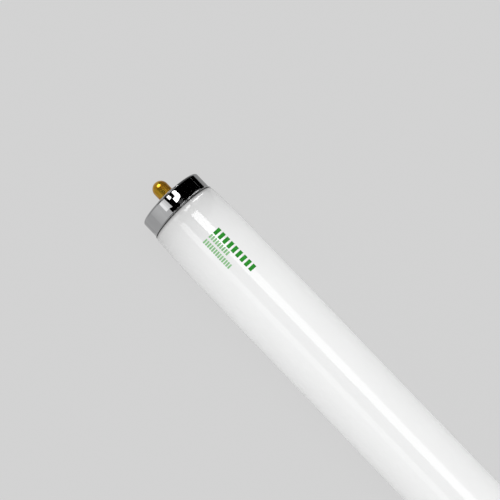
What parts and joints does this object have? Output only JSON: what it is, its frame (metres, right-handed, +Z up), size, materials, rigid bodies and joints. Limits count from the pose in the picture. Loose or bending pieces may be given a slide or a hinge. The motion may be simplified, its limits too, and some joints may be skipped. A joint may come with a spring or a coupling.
{
  "type": "fluorescent tube",
  "caption": "Straight fluorescent tube of white coated glass, with a drawn metal cap and a domed brass contact pin at each end.",
  "frame": {"origin": "middle of the tube's length, on its axis", "axes": "+X along the tube towards the right contact pin, +Z up, -Y towards the front"},
  "size_m": [1.4774, 0.0382, 0.038],
  "materials": {
    "coated_glass": "gloss",
    "plated_cap": "polished",
    "moulded_bush": "satin",
    "brass_pin": "polished",
    "basing_cement": "matte",
    "lead_wire": "satin",
    "printed_mark": "satin"
  },
  "bodies": {
    "root": {"glass_tube": "coated_glass", "left_cap_shell": "plated_cap", "left_insulator": "moulded_bush", "left_contact_pin": "brass_pin", "left_cement_ring": "basing_cement", "left_front_lead": "lead_wire", "left_rear_lead": "lead_wire", "right_cap_shell": "plated_cap", "right_insulator": "moulded_bush", "right_contact_pin": "brass_pin", "right_cement_ring": "basing_cement", "right_front_lead": "lead_wire", "right_rear_lead": "lead_wire"}
  },
  "joints": []
}
